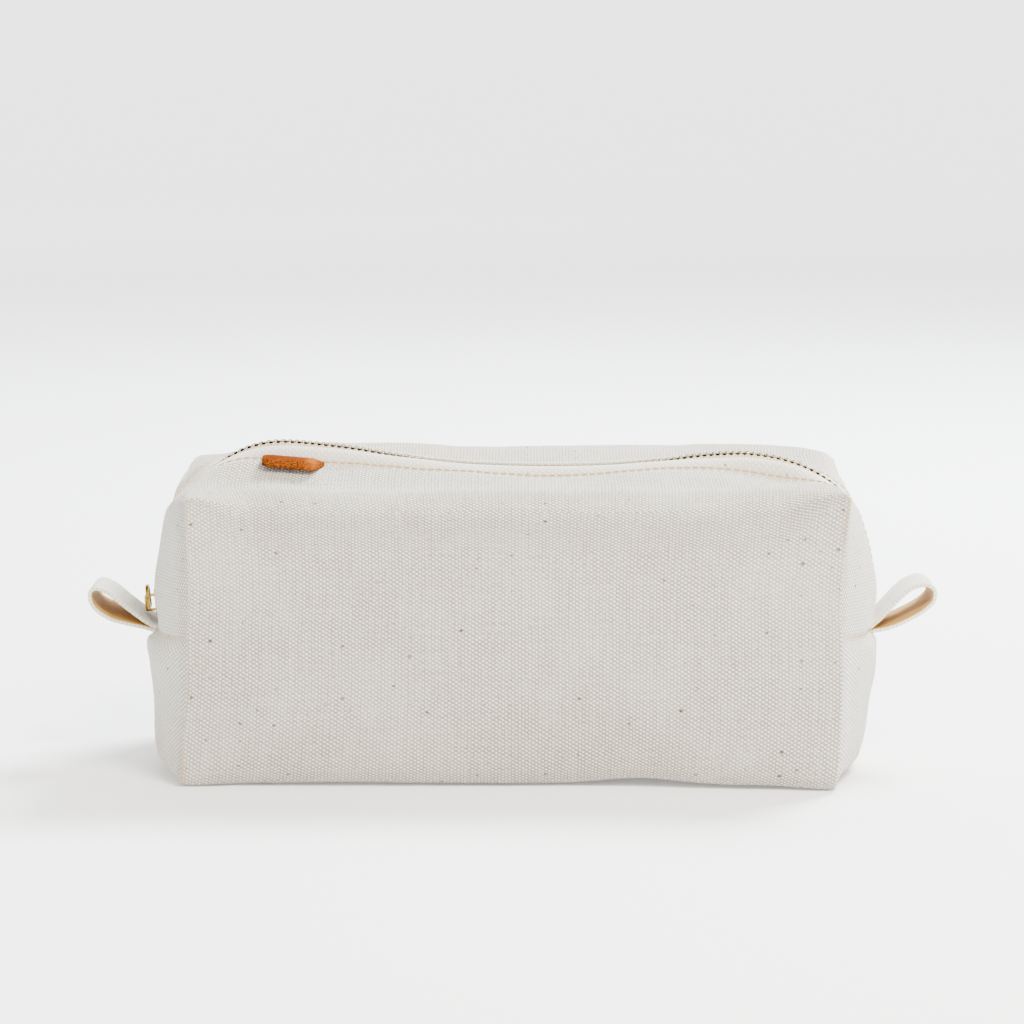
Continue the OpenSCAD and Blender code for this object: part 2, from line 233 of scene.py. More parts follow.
def bag_place(xh, yh, zh):
    """Maps the faces of a cube, -1 to 1 in xh and yh and 0 to 1 in zh, onto the filled bag."""
    xh, yh, zh = (np.asarray(v, float) for v in np.broadcast_arrays(xh, yh, zh))
    y = HALF_DEPTH * yh
    away = np.abs(yh)
    guess = xh * 126
    top = top_height(guess, y)
    seam = seam_height(y)
    z = np.where(zh < SEAM_H, seam * zh / SEAM_H, mix(seam, top, (zh - SEAM_H) / (1 - SEAM_H)))
    wall = half_length(xh, y, z)
    x = np.abs(xh) * wall
    top = np.where(zh >= 1, top_height(np.sign(xh) * x, y), top)
    z = np.where(zh >= 1, top, z)

    # Soft folds along the top and the base, and round corners at the ends.
    ends = ease(0.78, 0.985, np.abs(xh))
    dy, dz = rounded(HALF_DEPTH - np.abs(y), top - z, mix(np.where(yh > 0, 10.0, 19.0), 3.0, ends))
    dy, low = rounded(dy, top - dz, mix(8.0, 4.0, ends))
    dx, dz = rounded(wall - x, top - low, mix(np.where(yh > 0, 8.0, 11.0), 4.0, away**1.5))
    dx, z = rounded(dx, top - dz, mix(9.0, 4.0, away**2))
    x = np.sign(xh) * (wall - dx)
    side = np.where(yh < 0, -1.0, 1.0)
    y = np.where(yh == 0, 0.0, side * (HALF_DEPTH - dy))

    # The faces swell between their seams, and the front leans out at its lower right corner.
    face = ease(0.86, 1.0, away)
    across = 1 - np.clip(np.abs(x) / 122, 0, 1) ** 2
    up = np.clip(z / 112, 0, 1)
    swell = 2.6 * across * np.sin(np.pi * up) ** 0.8
    lean = 7.5 * ease(15, 120, x) * (1 - up) ** 1.3
    dents = (
        -2.2 * hill(x, z, -107, 52, 16, 7) + 1.2 * hill(x, z, -114, 40, 6, 8)
        - 1.2 * hill(x, z, 108, 60, 14, 12) - 1.0 * hill(x, z, -60, 84, 40, 14)
        + 0.9 * hill(x, z, 40, 30, 60, 18) - 1.1 * hill(x, z, 58, 92, 50, 9)
        + 0.8 * hill(x, z, -30, 20, 50, 14) - 0.9 * hill(x, z, -100, 16, 14, 12)
    )
    rolling = 0.55 * ripples(3, 62, x, z) + 0.22 * ripples(5, 24, x, z)
    rolling = rolling * across**0.4 * np.sin(np.pi * np.clip(up, 0.02, 0.98)) ** 0.5
    settle = 3.5 * ease(60, 112, z) * across**0.35 * ease(0.5, 1.0, away)
    y = np.where(side < 0, y + settle - face * (swell + lean + dents + rolling), y + face * (swell + rolling))
    arches = 2.3 * hill(x, z, 47, 0, 19, 16) + 0.5 * hill(x, z, -62, 0, 24, 16)
    z = z + arches * ease(0.55, 0.95, -yh)
    on_top = ease(0.86, 1, zh) * (1 - ease(0.9, 1, np.abs(xh))) * (1 - ease(0.8, 1, away))
    crease = ((x + 119) * 44 - (y + 54) * 21) / 48.8
    left_top = np.where((zh >= 1) & (xh < 0) & (yh < 0), ease(1.0, 0.93, away), 0)
    z = z - left_top * 1.3 * np.exp(-((crease / 3.2) ** 2)) * ease(9.5, 16, np.abs(y))
    z = z + on_top * (0.45 * ripples(11, 46, x, y) + 0.2 * ripples(12, 18, x, y))
    on_end = ease(0.94, 1, np.abs(xh)) * (1 - away**2)
    x = x + np.sign(xh) * on_end * (0.5 * ripples(21, 34, y, z) + 0.2 * ripples(23, 15, y, z))

    # The level seam of each end is drawn in.
    nip = np.exp(-(((zh - SEAM_H) / 0.011) ** 2)) * ease(0.97, 1, np.abs(xh))
    x = x - np.sign(xh) * nip * 1.1 * (1 - away**6)

    # Beside the zip the canvas follows the zip's own line.
    along = np.where(zh >= 1, np.abs(xh) * S_CORNER, S_CORNER + (S_SEAM - S_CORNER) * (1 - zh) / (1 - SEAM_H))
    zx, zz = zip_place(np.where(xh < 0, -1, 1) * np.minimum(along, S_SEAM))
    near = 1 - ease(5.6, 11.5, np.abs(y))
    near = near * ease(SEAM_H - 0.1, SEAM_H, zh) * np.where((zh >= 1) | (np.abs(xh) >= 1), 1, 0)
    return np.stack([mix(x, zx, near), y, mix(z, zz, near)], -1)


# ---------------------------------------------------------------- node materials


class Wire:
    """An output in a material's tree. Sums on it add Math nodes."""

    def __init__(self, dye, socket):
        self.dye, self.socket = dye, socket

    def sum_with(self, operation, other, flip=False):
        pair = (other, self) if flip else (self, other)
        return self.dye.node("ShaderNodeMath", {"operation": operation}, {0: pair[0], 1: pair[1]})

    def __add__(self, other):
        return self.sum_with("ADD", other)

    def __sub__(self, other):
        return self.sum_with("SUBTRACT", other)

    def __rsub__(self, other):
        return self.sum_with("SUBTRACT", other, True)

    def __mul__(self, other):
        return self.sum_with("MULTIPLY", other)

    def __truediv__(self, other):
        return self.sum_with("DIVIDE", other)

    def __pow__(self, other):
        return self.sum_with("POWER", other)

    def __abs__(self):
        return self.sum_with("ABSOLUTE", 0)

    __radd__, __rmul__ = __add__, __mul__

    def sine(self):
        return self.sum_with("SINE", 0)

    def step(self, low, high):
        """0 below low, 1 above high, and smooth between them."""
        span = {"Value": self, "From Min": low, "From Max": high}
        return self.dye.node("ShaderNodeMapRange", {"interpolation_type": "SMOOTHSTEP"}, span)


class Dye:
    """One material and the wires in it."""

    def __init__(self, name, **fixed):
        self.material = bpy.data.materials.new(name)
        self.material.use_nodes = True
        self.tree = self.material.node_tree
        self.shader = self.tree.nodes["Principled BSDF"]
        for socket, value in fixed.items():
            self.shader.inputs[socket.replace("_", " ")].default_value = value

    def node(self, kind, settings=None, inputs=None, output=0):
        made = self.tree.nodes.new(kind)
        for name, value in (settings or {}).items():
            setattr(made, name, value)
        for name, value in (inputs or {}).items():
            self.feed(made.inputs[name], value)
        return Wire(self, made.outputs[output])

    def feed(self, socket, value):
        if isinstance(value, Wire):
            self.tree.links.new(value.socket, socket)
        elif hasattr(value, "__len__") and len(value) == 3 and len(socket.default_value) == 4:
            socket.default_value = (*value, 1)
        else:
            socket.default_value = value

    def tints(self, low, high, share):
        """A colour between low and high. Its sockets are the node's inputs 6 and 7 and its output 2."""
        made = self.tree.nodes.new("ShaderNodeMix")
        made.data_type = "RGBA"
        for at, value in ((0, share), (6, low), (7, high)):
            self.feed(made.inputs[at], value)
        return Wire(self, made.outputs[2])

    def cut(self, name="cloth"):
        """Where a point lay on the flat cloth, in millimetres."""
        flat = self.node("ShaderNodeUVMap", {"uv_map": name})
        return flat, *(self.node("ShaderNodeSeparateXYZ", {}, {0: flat}, k) for k in (0, 1))

    def cloud(self, place, scale, detail=3, rough=0.55):
        inputs = {"Vector": place, "Scale": scale, "Detail": detail, "Roughness": rough}
        return self.node("ShaderNodeTexNoise", {}, inputs)

    def stretched(self, place, x, y, z=1):
        return self.node("ShaderNodeVectorMath", {"operation": "MULTIPLY"}, {0: place, 1: (x, y, z)})

    def finish(self, tint, roughness=None, height=None, depth=0.3, strength=1.0):
        if isinstance(tint, Wire):
            self.feed(self.shader.inputs["Base Color"], tint)
        if roughness is not None:
            self.feed(self.shader.inputs["Roughness"], roughness)
        if height is not None:
            inputs = {"Height": height, "Distance": depth * MM, "Strength": strength}
            bump = self.node("ShaderNodeBump", {}, inputs)
            self.feed(self.shader.inputs["Normal"], bump)
        return self.material


def mask(dye, name):
    return dye.node("ShaderNodeAttribute", {"attribute_name": name}, output="Fac")


# Millimetres from one yarn of the canvas to the next, across and up.
YARN_ACROSS, YARN_UP = 1.24, 0.785


def canvas_finish():
    dye = Dye("natural_canvas", Roughness=0.92, Sheen_Weight=0.2, Sheen_Roughness=0.5)
    flat, u, v = dye.cut()
    wander = dye.cloud(dye.stretched(flat, 0.09, 0.07), 1.0, 2)
    side_turn = u * (math.pi / YARN_ACROSS) + wander * 1.3
    rise_turn = v * (math.pi / YARN_UP) + wander * 1.9
    across, upward, slanted = side_turn.sine(), rise_turn.sine(), (side_turn + rise_turn + math.pi / 2).sine()
    grain = dye.cloud(dye.stretched(flat, 0.75, 0.62), 1.0, 2)
    warp = dye.cloud(dye.stretched(flat, 0.81, 0.05), 1.0, 3)
    weft = dye.cloud(dye.stretched(flat, 0.05, 1.25), 1.0, 3)
    slub = (warp + weft).step(0.75, 1.25)
    wash = dye.cloud(dye.stretched(flat, 0.02, 0.02), 1.0, 4)
    blotch = dye.cloud(dye.stretched(flat, 0.22, 0.16), 1.0, 3)
    seam, pressed = mask(dye, "seam"), mask(dye, "pressed")
    over = (across * upward - slanted * 0.6).step(-0.3, 1.15) * abs(across) ** 1.1 * abs(upward) ** 0.4
    knots = over * (grain.step(0.25, 0.7) * 0.65 + 0.6)

    light = knots * 0.98 + slub * 0.10 + grain * 0.20 + 0.08
    tone = dye.tints((0.13, 0.098, 0.06), (1.0, 0.945, 0.825), light)
    stained = blotch.step(0.52, 0.75) + (1 - blotch.step(0.2, 0.42)) * 0.3
    tone = dye.tints(tone, (0.40, 0.27, 0.14), stained * 0.13)
    tone = dye.tints(tone, (0.90, 0.85, 0.75), wash.step(0.4, 0.75) * 0.15)
    tone = dye.tints(tone, (0.80, 0.755, 0.67), pressed * 0.7)
    # Painted shade: along the seams and the stitching the canvas is tinted dark tan, for the shade in their
    # creases.
    tone = dye.tints(tone, (0.46, 0.31, 0.14), seam * 0.6)

    # Bits of seed left in the cotton, dark and pale brown.
    size = 0.11
    for wide, often, dark in ((0.16, 0.87, 1.1), (0.30, 0.90, 0.7)):
        cells = {"Vector": dye.stretched(flat, wide, wide * 1.25), "Scale": 1.0}
        near = dye.node("ShaderNodeTexVoronoi", {"voronoi_dimensions": "2D"}, cells, "Distance")
        pick = dye.node("ShaderNodeTexVoronoi", {"voronoi_dimensions": "2D"}, cells, "Color")
        chance = dye.node("ShaderNodeSeparateColor", {}, {0: pick}, 0)
        span = dye.node("ShaderNodeSeparateColor", {}, {0: pick}, 1)
        speck = (1 - (near / (span * size + size * 0.5)).step(0.5, 1.0)) * chance.step(often, often + 0.05)
        tone = dye.tints(tone, (0.085, 0.04, 0.014), speck * (span * dark * 0.6 + dark * 0.3))
    height = (knots * 1.1 + slub * 0.25 + grain * 0.3) * (1 - pressed * 0.75)
    return dye.finish(tone, 0.95 - over * 0.12, height, 0.42, 0.9)


def backing_finish(name="bonded_backing", low=(0.36, 0.185, 0.011), high=(0.62, 0.36, 0.028)):
    dye = Dye(name, Roughness=0.7, Sheen_Weight=0.15)
    flat, u, v = dye.cut()
    crossing = (u * (math.pi / 1.24)).sine() * (v * (math.pi / 0.80)).sine()
    over = crossing.step(-0.5, 0.7)
    wash = dye.cloud(dye.stretched(flat, 0.25, 0.12), 1.0, 4)
    tone = dye.tints(low, high, over * 0.4 + wash * 0.75)
    return dye.finish(tone, wash * 0.3 + 0.5, over + wash, 0.2, 0.6)


def tape_finish():
    dye = Dye("zip_tape", Roughness=0.85, Sheen_Weight=0.2)
    flat, u, v = dye.cut()
    ribs = (u * 5.2 + v * 1.3).sine().step(-0.8, 0.8)
    wash = dye.cloud(dye.stretched(flat, 0.15, 0.3), 1.0, 3)
    tone = dye.tints((0.30, 0.21, 0.10), (0.66, 0.54, 0.36), ribs * 0.5 + wash * 0.6)
    # Painted shadow: next to the chain the tape is tinted almost black, for the shade between the teeth.
    tone = dye.tints(tone, (0.035, 0.02, 0.01), 1 - v.step(2.0, 2.7))
    return dye.finish(tone, 0.85, ribs + wash * 0.5, 0.15, 0.6)


def thread_finish():
    dye = Dye("linen_thread", Roughness=0.7, Sheen_Weight=0.2)
    place = dye.node("ShaderNodeTexCoord", output="Object")
    ply = {"Vector": place, "Scale": 900.0, "Distortion": 0.6}
    twist = dye.node("ShaderNodeTexWave", {"bands_direction": "DIAGONAL"}, ply, 1)
    wash = dye.cloud(place, 220.0, 2)
    tone = dye.tints((0.34, 0.18, 0.06), (0.66, 0.45, 0.22), twist * 0.5 + wash * 0.5)
    return dye.finish(tone, 0.7, twist, 0.08, 0.6)


def brass_finish(name="old_brass", low=(0.09, 0.050, 0.007), high=(0.44, 0.27, 0.045), legs=False):
    dye = Dye(name, Metallic=1.0, Roughness=0.34)
    place = dye.node("ShaderNodeTexCoord", output="Object")
    cloud = dye.cloud(place, 260.0, 4)
    fine = dye.cloud(place, 1500.0, 2)
    tone = dye.tints(low, high, cloud.step(0.3, 0.6))
    if legs:
        # Painted shade: with legs set, the teeth's legs are tinted almost black for the shade between them,
        # with some tarnish.
        tone = dye.tints(tone, (0.014, 0.009, 0.005), mask(dye, "leg"))
    return dye.finish(tone, cloud * 0.25 + 0.22, fine + cloud, 0.04, 0.5)


def leather_finish():
    dye = Dye("vegetable_leather", Roughness=0.6, Specular_IOR_Level=0.0)
    place = dye.node("ShaderNodeTexCoord", output="Object")
    fibre, crown = mask(dye, "fibre"), mask(dye, "crown")
    blotch = dye.cloud(place, 190.0, 4)
    pores = {"Vector": place, "Scale": 1500.0}
    grain = dye.node("ShaderNodeTexVoronoi", {"feature": "DISTANCE_TO_EDGE"}, pores, 0)
    hairs = dye.cloud(dye.stretched(place, 1400, 260, 2600), 1.0, 4, 0.7)
    smooth_tone = dye.tints((0.10, 0.019, 0.003), (0.185, 0.042, 0.008), blotch.step(0.25, 0.75))
    rough_tone = dye.tints((0.045, 0.008, 0.002), (0.36, 0.095, 0.013), hairs.step(0.40, 0.60))
    tone = dye.tints(smooth_tone, rough_tone, fibre)
    tone = dye.tints(tone, (0.42, 0.12, 0.018), crown * 0.6)
    height = dye.tints(grain.step(0, 0.25) * 0.35 + blotch * 0.3, hairs * 1.6, fibre)
    return dye.finish(tone, 0.55 + fibre * 0.35, height, 0.3, 0.9)


def floor_finish():
    dye = Dye("paper_sweep", Roughness=0.9, Specular_IOR_Level=0.1, Emission_Strength=3.0)
    place = dye.node("ShaderNodeTexCoord", output="Object")
    # Painted glow: the sweep glows faintly near the bag and strongly far behind it, where the lamps no longer
    # reach it.
    away = dye.node("ShaderNodeVectorMath", {"operation": "LENGTH"}, {0: place}, "Value")
    glow = dye.tints((0.067, 0.067, 0.067), (0.62, 0.62, 0.62), away.step(0.9, 3.6))
    dye.feed(dye.shader.inputs["Emission Color"], glow)
    tone = dye.tints((0.93, 0.93, 0.925), (0.96, 0.96, 0.955), dye.cloud(place, 3.0, 2))
    return dye.finish(tone)


canvas, backing, tape, thread = canvas_finish(), backing_finish(), tape_finish(), thread_finish()
brass, leather = brass_finish(), leather_finish()
# The teeth are brighter worn brass, and their legs carry painted shade.
teeth_brass = brass_finish("worn_teeth_with_leg_shade", (0.42, 0.25, 0.06), (0.74, 0.50, 0.18), legs=True)
binding = backing_finish("seam_binding", (0.42, 0.33, 0.19), (0.70, 0.60, 0.40))

# ---------------------------------------------------------------- making pieces


def make_piece(name, points, faces, finishes, cuts=None, finish_of=None, masks=None, normals=None):
    """A piece from points in millimetres. cuts, when given, is where each corner lay on the flat cloth."""
    mesh = bpy.data.meshes.new(name)
    mesh.from_pydata((np.asarray(points) * MM).tolist(), [], [list(map(int, f)) for f in faces])
    for finish in finishes:
        mesh.materials.append(finish)
    if cuts is not None:
        layer = mesh.uv_layers.new(name="cloth")
        layer.data.foreach_set("uv", np.asarray(cuts, np.float32).ravel())
    if finish_of is not None:
        mesh.polygons.foreach_set("material_index", np.asarray(finish_of, np.int32))
    for title, values in (masks or {}).items():
        attribute = mesh.attributes.new(title, "FLOAT", "POINT")
        attribute.data.foreach_set("value", np.asarray(values, np.float32))
    mesh.polygons.foreach_set("use_smooth", [True] * len(mesh.polygons))
    mesh.update()
    if normals is not None:
        mesh.normals_split_custom_set(np.asarray(normals).tolist())
    piece = bpy.data.objects.new(name, mesh)
    bpy.context.collection.objects.link(piece)
    return piece


def grid_faces(rows, columns, closed=False):
    """Quads of a grid of rows by columns of points, joined round its columns when closed."""
    faces = []
    for i in range(rows - 1):
        for j in range(columns if closed else columns - 1):
            k = (j + 1) % columns
            faces.append((i * columns + j, i * columns + k, (i + 1) * columns + k, (i + 1) * columns + j))
    return faces


# ---------------------------------------------------------------- the canvas bag


def near_ends(low, high, middle):
    """Steps from low to high, close together near both ends."""
    fine = np.array([0, 0.5, 1.3, 2.6, 4.6, 7.5])
    return np.concatenate([low + fine, np.linspace(low + 11, high - 11, middle), (high - fine)[::-1]])


# Numbers of the panels. Those of the back half of the top and ends are BACK_MORE higher.
FRONT, BACK, FLAP, TOP, END, LOW_END, BASE = range(1, 8)
BACK_MORE = 10
# Slack when rows of points are sorted by place.
LEEWAY = 0.0001


def sew_bag():
    """The whole outer face of the bag as one mesh, each face marked with its panel."""
    bm = bmesh.new()
    flat = bm.loops.layers.uv.new("cloth")
    panel_of = bm.faces.layers.int.new("panel")
    beside = bm.verts.layers.float.new("beside")

    def panel(number, place, cloth, first, second, flip):
        a, b = np.meshgrid(first, second, indexing="ij")
        points, cut = place(a, b), np.stack(cloth(a, b), -1)
        verts = [[bm.verts.new(p) for p in row] for row in points.tolist()]
        for i in range(len(first) - 1):
            for j in range(len(second) - 1):
                ring = [(i, j), (i + 1, j), (i + 1, j + 1), (i, j + 1)]
                if flip:
                    ring.reverse()
                face = bm.faces.new([verts[p][q] for p, q in ring])
                face[panel_of] = number
                for loop, (p, q) in zip(face.loops, ring):
                    loop[flat].uv = cut[p, q]

    xs = np.unique(np.concatenate([near_ends(-120, 120, 86), [-BEND_FROM, BEND_FROM]])) / 120
    ups = np.concatenate([[SEAM_H, 0.456, 0.464, 0.475, 0.49], np.linspace(0.51, 0.97, 28), [0.985, 1.0]])
    lows = np.concatenate([
        [0, 0.02, 0.05, 0.09], np.linspace(0.13, 0.37, 13), [0.39, 0.405, 0.418, 0.43, 0.438, 0.444, SEAM_H],
    ])
    zs = np.concatenate([lows, ups[1:]])
    across = np.unique(np.concatenate([
        [EDGE_Y, 6.6, 7.4, 8.4, 9.1, STITCH_Y, 9.9, 10.6, 11.8, 13.5, 16], np.linspace(19, 47, 12),
        [50, 52, 53.4, 54.6, 55.4, 56],
    ])) / HALF_DEPTH
    ys = np.concatenate([-across[::-1], [-0.07, -0.035, 0, 0.035, 0.07], across])
    ys = ys[(np.abs(ys) >= 0.11) | (np.abs(ys) < 0.08)]
    bend, hinge = BEND_FROM / 120, 50 / HALF_DEPTH
    under_flap = np.abs(xs) <= bend + LEEWAY
    for side in (-1, 1):
        # The back is cut from further along the bolt of cloth, so that its flecks fall elsewhere.
        bolt = 0 if side < 0 else 300
        more = 0 if side < 0 else BACK_MORE

        def face_place(a, b):
            return bag_place(a, side, b)

        def face_cloth(a, b):
            return a * 121 + bolt, np.interp(b, [0, SEAM_H, 1], [0, 55.7, 110])

        def top_place(a, b):
            return bag_place(a, side * b, 1)

        def top_cloth(a, b):
            return a * 125 + bolt, 166 - b * 56

        panel(FRONT if side < 0 else BACK, face_place, face_cloth, xs, zs, side > 0)
        panel(FLAP + more, top_place, top_cloth, xs[under_flap], across[across <= hinge + LEEWAY], side < 0)
        panel(TOP + more, top_place, top_cloth, xs[xs <= -bend + LEEWAY], across, side < 0)
        panel(TOP + more, top_place, top_cloth, xs[xs >= bend - LEEWAY], across, side < 0)
        panel(TOP + more, top_place, top_cloth, xs[under_flap], across[across >= hinge - LEEWAY], side < 0)
        for end in (-1, 1):
            panel(
                END + more, lambda a, b: bag_place(end, side * a, b),
                lambda a, b: (end * (125 + 57 * (1 - b) / 0.55) + bolt, 166 - a * 56),
                across, ups, (side < 0) == (end < 0),
            )
    for end in (-1, 1):
        panel(LOW_END, lambda a, b: bag_place(end, a, b), lambda a, b: (a * 56, b * 110), ys, lows, end > 0)
    panel(BASE, lambda a, b: bag_place(a, b, 0), lambda a, b: (a * 121, b * 56 - 56), xs, ys, False)
    bmesh.ops.remove_doubles(bm, verts=bm.verts, dist=0.004)
    bmesh.ops.recalc_face_normals(bm, faces=bm.faces)
    if sum(f.normal.y * f.calc_center_median().y * f.calc_area() for f in bm.faces) < 0:
        bmesh.ops.reverse_faces(bm, faces=bm.faces)
    for edge in bm.edges:
        kinds = {f[panel_of] for f in edge.link_faces}
        if kinds & {END, END + BACK_MORE, LOW_END} and kinds & {FRONT, BACK}:
            edge.smooth = False
    bm.normal_update()
    mesh = bpy.data.meshes.new("bag_pattern")
    bm.to_mesh(mesh)
    bm.free()
    mesh.polygons.foreach_set("use_smooth", [True] * len(mesh.polygons))
    return mesh


def pattern_arrays(mesh):
    def read(items, name, width, kind=float):
        values = np.zeros(len(items) * width, kind)
        items.foreach_get(name, values)
        return values.reshape(-1, width) if width > 1 else values

    return {
        "points": read(mesh.vertices, "co", 3), "out": read(mesh.vertices, "normal", 3),
        "starts": read(mesh.polygons, "loop_start", 1, np.int32),
        "corners": read(mesh.loops, "vertex_index", 1, np.int32),
        "normals": read(mesh.corner_normals, "vector", 3),
        "cuts": read(mesh.uv_layers["cloth"].data, "uv", 2),
        "panel": read(mesh.attributes["panel"].data, "value", 1, np.int32),
    }


pattern = pattern_arrays(sew_bag())


def seam_masks(points):
    """How close each point is to a sewn seam, for the shade painted into its crease, and to a fold that rubs.
    """
    x, y, z = points.T
    corner = np.hypot(HALF_DEPTH - np.abs(y), np.abs(x) - half_length(np.sign(x), np.sign(y) * HALF_DEPTH, z))
    level = np.where((np.abs(x) > 119.8) & (np.abs(y) < 55.5), np.abs(z - seam_height(y)), 99)
    slot = np.where(z > SEAM_Z, np.abs(np.abs(y) - 5.2), 99)
    # The corner seams take the most painted shade near their top and bottom ends, where they crease.
    tips = ease(22, 4, np.minimum(z, 108 - z))
    seam = np.exp(-((corner / 1.2) ** 2)) * (0.12 + 0.88 * tips)
    seam += 0.9 * np.exp(-((level / 0.8) ** 2)) + 0.12 * np.exp(-((slot / 0.7) ** 2))
    stitched = np.where(z > SEAM_Z, np.exp(-(((np.abs(y) - STITCH_Y) / 0.8) ** 2)), 0)
    pressed = np.where((z > SEAM_Z) & (np.abs(y) < 20), ease(11.5, 9.8, np.abs(y)), 0)
    pressed = np.maximum(pressed, 0.3 * ease(120.5, 125, np.abs(x)) * ease(56, 52, np.abs(y)))
    return {"seam": np.clip(seam + 0.7 * stitched, 0, 1), "pressed": pressed}


def cut_piece(name, panels, keep=None):
    """Cuts some panels out of the pattern, as canvas outside and backing inside."""
    middle = pattern["points"][pattern["corners"].reshape(-1, 4)].mean(1)
    chosen = np.isin(pattern["panel"], panels)
    if keep is not None:
        chosen &= keep(middle)
    loops = np.flatnonzero(np.repeat(chosen, 4))
    used, quads = np.unique(pattern["corners"][loops], return_inverse=True)
    quads = quads.reshape(-1, 4)
    outer, out = pattern["points"][used], pattern["out"][used]
    inner = outer - out * CANVAS
    count = len(outer)
    points, faces = [outer, inner], [quads, quads[:, ::-1] + count]
    cuts, normals = [pattern["cuts"][loops]], [pattern["normals"][loops]]
    cuts.append(cuts[0].reshape(-1, 4, 2)[:, ::-1].reshape(-1, 2))
    normals.append(-normals[0].reshape(-1, 4, 3)[:, ::-1].reshape(-1, 3))
    # Beside the zip the canvas is folded under, so it shows inside too.
    kinds = [np.zeros(len(quads)), np.where(np.abs(middle[chosen][:, 1]) < 8.5, 0, 1)]

    # Open edges: a rolled fold beside the zip, a plain thickness elsewhere.
    seen = {}
    for a, b in np.concatenate([quads[:, [i, (i + 1) % 4]] for i in range(4)]).tolist():
        seen[frozenset((a, b))] = None if frozenset((a, b)) in seen else (a, b)
    rim = [pair for pair in seen.values() if pair]
    fold = np.abs(np.abs(outer[:, 1]) - EDGE_Y) < 0.05
    turns = np.radians([0, 35, 70, 110, 145, 180])
    extra, at = {}, 2 * count
    rolled = []
    for v in sorted({v for pair in rim for v in pair if fold[v]}):
        toward = np.array([0, -np.sign(outer[v, 1]), 0])
        toward = toward - out[v] * (toward @ out[v])
        toward /= np.linalg.norm(toward)
        for turn in turns[1:-1]:
            rolled.append(outer[v] - out[v] * ROLL * (1 - math.cos(turn)) + toward * ROLL * math.sin(turn))
        extra[v] = [v, *range(at, at + 4), v + count]
        at += 4
    if rolled:
        points.append(np.array(rolled))
    rim_faces, rim_normals, rim_cuts = [], [], []
    for a, b in rim:
        chain = (extra[a], extra[b]) if fold[a] and fold[b] else ([a, a + count], [b, b + count])
        for k in range(len(chain[0]) - 1):
            rim_faces.append((chain[0][k], chain[0][k + 1], chain[1][k + 1], chain[1][k]))
    allpoints = np.concatenate(points)
    for face in rim_faces:
        p = allpoints[list(face)]
        n = np.cross(p[2] - p[0], p[3] - p[1])
        n = n / max(np.linalg.norm(n), 1e-9)
        for corner in p:
            rim_normals.append(n)
            rim_cuts.append((corner[0], 160 + corner[2] * 0.5))
    if rim_faces:
        faces.append(np.array(rim_faces))
        kinds.append(np.zeros(len(rim_faces)))
        cuts.append(np.array(rim_cuts))
        normals.append(np.array(rim_normals))
    masks = seam_masks(allpoints)
    return make_piece(
        name, allpoints, np.concatenate(faces).tolist(), [canvas, backing], np.concatenate(cuts),
        np.concatenate(kinds).astype(int), masks, np.concatenate(normals),
    )


bag = cut_piece("canvas_bag", [FRONT, BACK, TOP, TOP + BACK_MORE, END, END + BACK_MORE, LOW_END, BASE])
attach(bag, "bag")
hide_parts("front_canvas", "back_canvas", "front_lining", "back_lining")

HALVES = (("left", -1), ("right", 1))
SIDES = (("front", -1), ("back", 1))


def lift_with_flap(piece, end):
    """Bakes the piece's place into its points. Where the flap would start and finish lifting is worked out but
    not used.
    """
    start, full = ((end * x * MM, 0, 0.11) for x in (BEND_FROM, BEND_TO))
    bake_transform(piece)


for side_name, side in SIDES:
    for end_name, end in HALVES:
        panels = [FLAP if side < 0 else FLAP + BACK_MORE]
        flap = cut_piece(f"{side_name}_flap_canvas_{end_name}_half", panels, lambda m, e=end: m[:, 0] * e > 0)
        lift_with_flap(flap, end)
        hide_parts(side_name + "_flap_canvas", side_name + "_flap_lining")

# ---------------------------------------------------------------- the zip

TOOTH_STEP = 2.52
SLIDER_S = -(CURVE_X + math.radians(90 + 6.5) * CURVE_R)
# How far the middle of the zip lies below the canvas beside it.
CHAIN_SINK = [
    (-182, 1.9), (-148, 1.9), (-124, 2.1), (-112, 1.5), (-102, 0.25), (-60, 0.25), (-40, 1.1), (-25, 2.1),
    (30, 2.2), (52, 1.5), (60, 1.0), (68, 0.2), (112, 0.2), (126, 1.0), (145, 1.9), (182, 1.9),
]


# A tooth's rings: place across the zip from its middle, half-width along the zip and half-height.
TOOTH_PROFILE = [
    (-0.95, 0.16, 0.55), (-0.8, 0.28, 0.95), (-0.4, 0.33, 1.12), (1.9, 0.5, 1.15), (2.3, 0.7, 1.15),
    (3.2, 0.7, 1.1), (3.5, 0.4, 0.8),
]
# The tape's outline: place across the zip from its middle, and height over the middle of the chain.
TAPE_PROFILE = [
    (2.3, 0.5), (2.9, 0.62), (3.6, 0.34), (6, 0.3), (10, 0.2), (15, 0.0),
    (16, -0.1), (16, -0.6), (10, -0.4), (3.6, -0.34), (2.9, -0.62), (2.3, -0.5),
]


def on_chain(s, y, up):
    """Points at s along the chain, y across it and up from its middle."""
    x, z = zip_place(s, -drawn(CHAIN_SINK, s))
    _, (ox, oz) = zip_way(s)
    return np.stack([x + ox * up, np.broadcast_to(y, np.shape(x)), z + oz * up], -1)


def tooth_rings(s, side):
    """One tooth: rounded rings from its tip, past the middle of the zip, to its legs."""
    turn = np.radians([20, 70, 110, 160, 200, 250, 290, 340])
    a, h = np.cos(turn), np.sin(turn)
    a, h = np.sign(a) * np.abs(a) ** 0.35, np.sign(h) * np.abs(h) ** 0.35
    rings = []
    for y, wide, tall in TOOTH_PROFILE:
        rings.append(on_chain(s + a * wide, side * y, h * tall))
    return np.array(rings)


